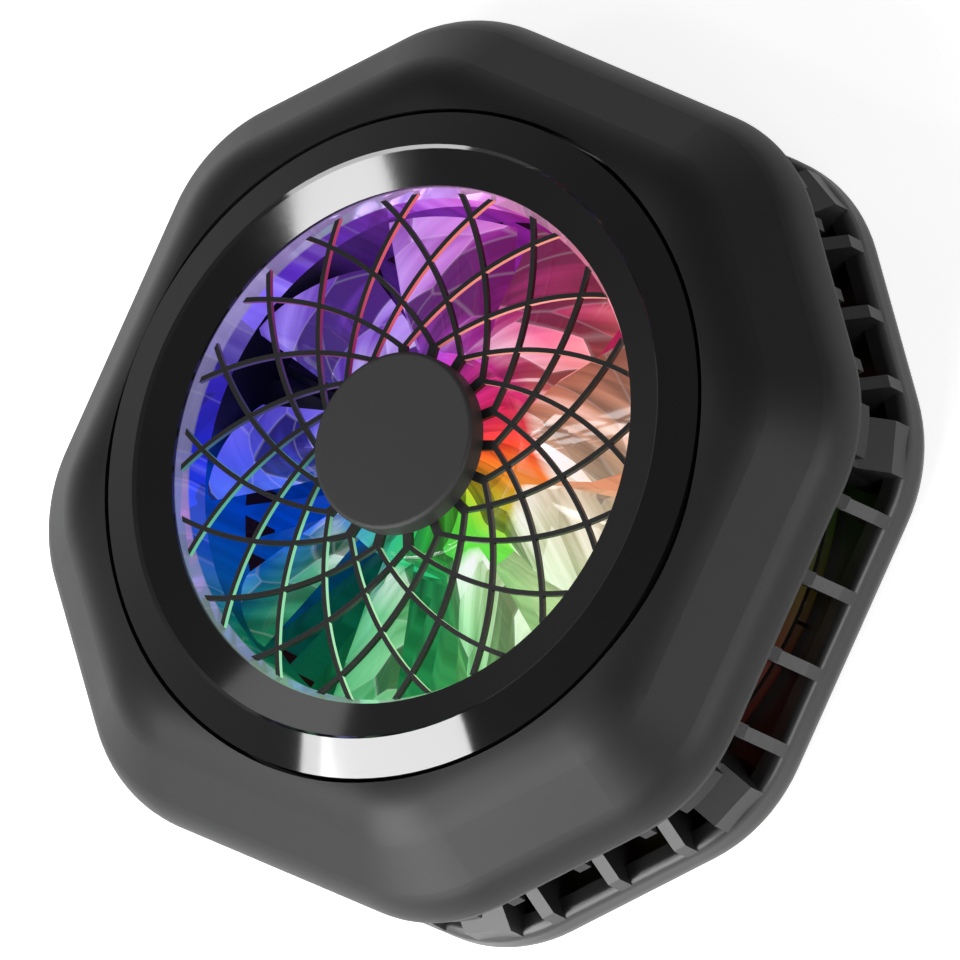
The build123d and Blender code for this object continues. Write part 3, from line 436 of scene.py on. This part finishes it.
steel = machined("steel", (0.48, 0.48, 0.49), (0.58, 0.58, 0.59), 0.28, 0.35 * MM)
ferrite = moulded("ferrite", (0.028, 0.028, 0.030), (0.040, 0.040, 0.042), 0.50, 1.4, 0.2)
bronze = machined("bronze", (0.42, 0.25, 0.10), (0.52, 0.33, 0.15), 0.36, 0.25 * MM)
copper = moulded("copper", (0.55, 0.17, 0.06), (0.68, 0.25, 0.09), 0.28, 0.8, Metallic=1.0)
tree = copper.node_tree
winding = add_node(tree, "TexWave", Vector=object_place(tree), Scale=WIRE_FINENESS)
winding.bands_direction = "Z"
set_inputs(tree, tree.nodes["Bump"], Height=winding.outputs["Fac"], Strength=0.9, Distance=WIRE_RELIEF)
finish_nodes(steel, "rotor_yoke", "shaft", "retaining_clip", "stator_core")
finish_nodes(ferrite, "rotor_magnet")
finish_nodes(bronze, "bearing")
finish_nodes(copper, "stator_coils")
finish_nodes(board_green, "motor_board")

# Thermoelectric module: rows of bismuth pellets between two alumina plates, with a foam frame round them.
# The hot plate is pressed under the heat sink and the cold one on the back of the cold plate.
ceramic = moulded("ceramic", (0.74, 0.74, 0.71), (0.82, 0.82, 0.79), 0.60, 1.2, 0.15)
pellet_metal = moulded("pellet_metal", (0.26, 0.26, 0.29), (0.36, 0.36, 0.40), 0.42, 1.0, 0.2, Metallic=1.0)
foam = moulded("foam", (0.018, 0.018, 0.018), (0.030, 0.030, 0.030), 0.92, 2.5, 0.6)
finish_nodes(ceramic, "hot_ceramic", "cold_ceramic")
finish_nodes(pellet_metal, "pellets")
finish_nodes(foam, "insulation_frame")

# Cold plate and contact pad: a turned aluminium plate that cools the phone, and a grey silicone ring round it.
# The pad is bonded into its recess in the tray and grips the phone's back.
plate_bare = machined("plate_bare", (0.72, 0.72, 0.74), (0.82, 0.82, 0.84), 0.24, 0.45 * MM)
pad_rubber = moulded("pad_rubber", (0.024, 0.024, 0.026), (0.034, 0.034, 0.036), 0.72, 1.8, 0.25)
finish_nodes(plate_bare, "cold_plate")
finish_nodes(pad_rubber, "contact_pad")

# Magnets and shunt ring: nickel-plated magnets glued side by side on a soft steel ring, behind the tray's floor.
# Their outer sides show in the vents, with a little of the LEDs' light painted on them as glow.
magnet_metal = moulded("magnet_metal", (0.58, 0.58, 0.60), (0.66, 0.66, 0.68), 0.22, 1.0, 0.06, Metallic=1.0)
tree = magnet_metal.node_tree
set_inputs(tree, tree.nodes["Principled BSDF"], Emission_Color=place_group(tree, painted_vent_light)["Color"],
           Emission_Strength=0.2)
finish_nodes(magnet_metal, "magnets")
finish_nodes(steel, "shunt_ring")

# Control board and its chips: a small board on two posts of the tray, just behind the power socket.
# It is the LED board's glass epoxy in green, with two black epoxy packages soldered on.
chip_black = moulded("chip_black", (0.016, 0.016, 0.017), (0.024, 0.024, 0.025), 0.42, 1.2, 0.2)
finish_nodes(board_green, "control_board")
finish_nodes(chip_black, "board_chips")

# Power socket: a drawn steel shell and a black tongue, open at the housing's flat side.
# Twelve gilt contacts lie along each face of the tongue, moulded in flush but for a hair's height.
CONTACTS, CONTACT_PITCH, CONTACT_WIDTH, CONTACT_RISE = 12, 0.5 * MM, 0.28 * MM, 0.03 * MM
CONTACT_START, CONTACT_END = -30.1 * MM, -27.0 * MM
TONGUE_Z, TONGUE_THICK = 6.23 * MM, 0.70 * MM


def contact_strips():
    """Strips along Y on both faces of the tongue.

    Each is a box: its corners are the strip's middle in X plus or minus half its width, its start and end in Y,
    and in Z the tongue's face with a sink under it and the rise over it, mirrored for the lower face.
    A side whose normal points to its box's middle is listed the other way round."""
    middles = (np.arange(CONTACTS) - (CONTACTS - 1) / 2) * CONTACT_PITCH
    face, middle, end, side, top = np.meshgrid((-1, 1), middles, (CONTACT_START, CONTACT_END), (-0.5, 0.5), (-1, 1),
                                               indexing="ij")
    reach = TONGUE_THICK / 2 + CONTACT_RISE * top
    corners = np.stack((middle + side * CONTACT_WIDTH, end, TONGUE_Z + face * reach), -1).reshape(-1, 8, 3)
    sides = np.array(((0, 1, 3, 2), (4, 5, 7, 6), (0, 1, 5, 4), (2, 3, 7, 6), (0, 2, 6, 4), (1, 3, 7, 5)))
    quads = corners[:, sides]
    across = np.cross(quads[:, :, 1] - quads[:, :, 0], quads[:, :, 2] - quads[:, :, 0])
    inward = (across * (quads.mean(2) - corners.mean(1)[:, None])).sum(-1) < 0
    turned = np.where(inward[..., None], sides[:, ::-1], sides) + (np.arange(len(corners)) * 8)[:, None, None]
    return corners.reshape(-1, 3), turned.reshape(-1, 4)


socket_steel = moulded("socket_steel", (0.60, 0.60, 0.61), (0.68, 0.68, 0.69), 0.20, 0.8, 0.04, Metallic=1.0)
gilt = moulded("gilt", (0.86, 0.55, 0.20), (0.93, 0.64, 0.28), 0.22, 0.8, 0.03, Metallic=1.0)
finish_nodes(socket_steel, "socket_shell")
finish_nodes(chip_black, "socket_tongue")
points, faces = contact_strips()
mesh = bpy.data.meshes.new("socket_contacts")
mesh.from_pydata(points.tolist(), [], faces.tolist())
mesh.materials.append(gilt)
contacts = bpy.data.objects.new("socket_contacts", mesh)
bpy.context.scene.collection.objects.link(contacts)
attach(contacts, "housing")

# Screws: cross-recessed pan heads, four of black steel up through the tray into the front cover,
# and bright steel ones that hold the heat sink to the tray and the fan frame to the heat sink.
screw_black = moulded("screw_black", (0.024, 0.024, 0.025), (0.034, 0.034, 0.035), 0.34, 0.8, 0.08,
                      worn=(0.20, 0.20, 0.20), Metallic=0.6)
finish_nodes(screw_black, "housing_screws")
finish_nodes(steel, "sink_screws", "fan_screws")

# Table, light and camera: the fan lies on a white table among soft boxes, seen from over its open side.
# The studio's walls are pale low down and dark overhead. A camera under the table sees through it, and
# light from below it reaches what lies close to it.
TABLE_SIZE, TABLE_REACH = 12.0, 2.5 * MM
TABLE_SEEN, TABLE_MIRRORED = 0.76, 0.40
WALLS = (0.0, 0.40), (0.2, 0.32), (0.4, 0.22), (0.65, 0.14), (1.0, 0.10)  # height as a sine, brightness
WALL_BELOW, WALL_GLOSSY = 0.55, 0.08
bpy.ops.mesh.primitive_plane_add(size=TABLE_SIZE)
table = bpy.context.object
table.name = "table"
table_white, tree, shader = start_material("table_white")
ray = add_node(tree, "LightPath").outputs
mirrored = calculate(tree, "ADD", ray["Is Glossy Ray"], ray["Is Transmission Ray"], clamp=True)
brightness = calculate(tree, "MULTIPLY_ADD", ray["Is Camera Ray"], TABLE_SEEN,
                       calculate(tree, "MULTIPLY", mirrored, TABLE_MIRRORED))
backfacing = add_node(tree, "NewGeometry").outputs["Backfacing"]
through = calculate(tree, "MAXIMUM", backfacing, calculate(tree, "LESS_THAN", ray["Ray Length"], TABLE_REACH))
set_inputs(tree, shader, Base_Color=(0.70, 0.70, 0.70), Roughness=0.9, Emission_Color=(1.0, 1.0, 1.0),
           Emission_Strength=brightness, Alpha=calculate(tree, "SUBTRACT", 1.0, through))
table.data.materials.append(table_white)

world = bpy.data.worlds.new("studio")
bpy.context.scene.world = world
world.use_nodes = True
tree = world.node_tree
sine = add_node(tree, "SeparateXYZ", Vector=add_node(tree, "TexCoord").outputs["Generated"]).outputs["Z"]
walls = colour_ramp(tree, sine, [(position, (level, level, level, 1.0)) for position, level in WALLS])["Color"]
level = calculate(tree, "MULTIPLY_ADD", calculate(tree, "LESS_THAN", sine, 0.0), WALL_BELOW, walls)
ray = add_node(tree, "LightPath").outputs
direct = calculate(tree, "ADD", ray["Is Camera Ray"], ray["Is Transmission Ray"])
white = calculate(tree, "MULTIPLY_ADD", ray["Is Glossy Ray"], WALL_GLOSSY, direct)
set_inputs(tree, tree.nodes["Background"], Color=(1.0, 1.0, 1.0), Strength=calculate(tree, "MAXIMUM", level, white))


def soft_box(name, centre, width, height, brightness, level=True):
    """A rectangular lamp with a given brightness. It lies level, or else stands and faces the fan."""
    lamp = bpy.data.lights.new(name, "AREA")
    lamp.shape = "RECTANGLE"
    lamp.size, lamp.size_y = width, height
    lamp.energy = brightness * np.pi * width * height
    held = bpy.data.objects.new(name, lamp)
    bpy.context.scene.collection.objects.link(held)
    held.location = centre
    held.visible_camera = False
    if not level:
        behind = np.array(centre) / np.linalg.norm(centre)
        across = np.cross((0.0, 0.0, 1.0), behind)
        across = across / np.linalg.norm(across)
        axes = np.stack((across, np.cross(behind, across), behind), 1)
        held.rotation_euler = Matrix(axes.tolist()).to_euler()


soft_box("inner_band", (0.0273, -0.0520, 0.15), 0.0174, 0.024, 11.0)
soft_box("inner_band_low", (-0.058, -0.108, 0.15), 0.045, 0.045, 1.2)
soft_box("outer_band", (0.1125, -0.0315, 0.15), 0.055, 0.069, 11.0)
soft_box("outer_band_low", (0.130, -0.0800, 0.15), 0.070, 0.028, 10.0)
soft_box("right_side", (0.32, 0.0, 0.19), 0.34, 0.24, 6.5, level=False)
soft_box("top_side", (-0.02, 0.34, 0.13), 0.26, 0.14, 4.0, level=False)

VIEW_RIGHT = np.array((-0.4081, 0.7522, -0.5173))
VIEW_UP = np.array((-0.9126, -0.3199, 0.2548))
VIEW_BACK = np.array((0.0262, 0.5761, 0.8170))
VIEW_WIDTH, VIEW_DISTANCE = 72.73 * MM, 0.5
FACE_MIDDLE, SHIFT_RIGHT, SHIFT_UP = np.array((0.0, 0.0, 21.3)) * MM, 5.82 * MM, -2.61 * MM
camera = bpy.data.objects.new("camera", bpy.data.cameras.new("camera"))
bpy.context.scene.collection.objects.link(camera)
camera.data.type = "ORTHO"
camera.data.ortho_scale = VIEW_WIDTH
camera.data.clip_start, camera.data.clip_end = 0.01, 5.0
camera.location = FACE_MIDDLE + VIEW_RIGHT * SHIFT_RIGHT + VIEW_UP * SHIFT_UP + VIEW_BACK * VIEW_DISTANCE
camera.rotation_euler = Matrix(np.stack((VIEW_RIGHT, VIEW_UP, VIEW_BACK), 1).tolist()).to_euler()
bpy.context.scene.camera = camera
bpy.context.scene.view_settings.view_transform = "Standard"
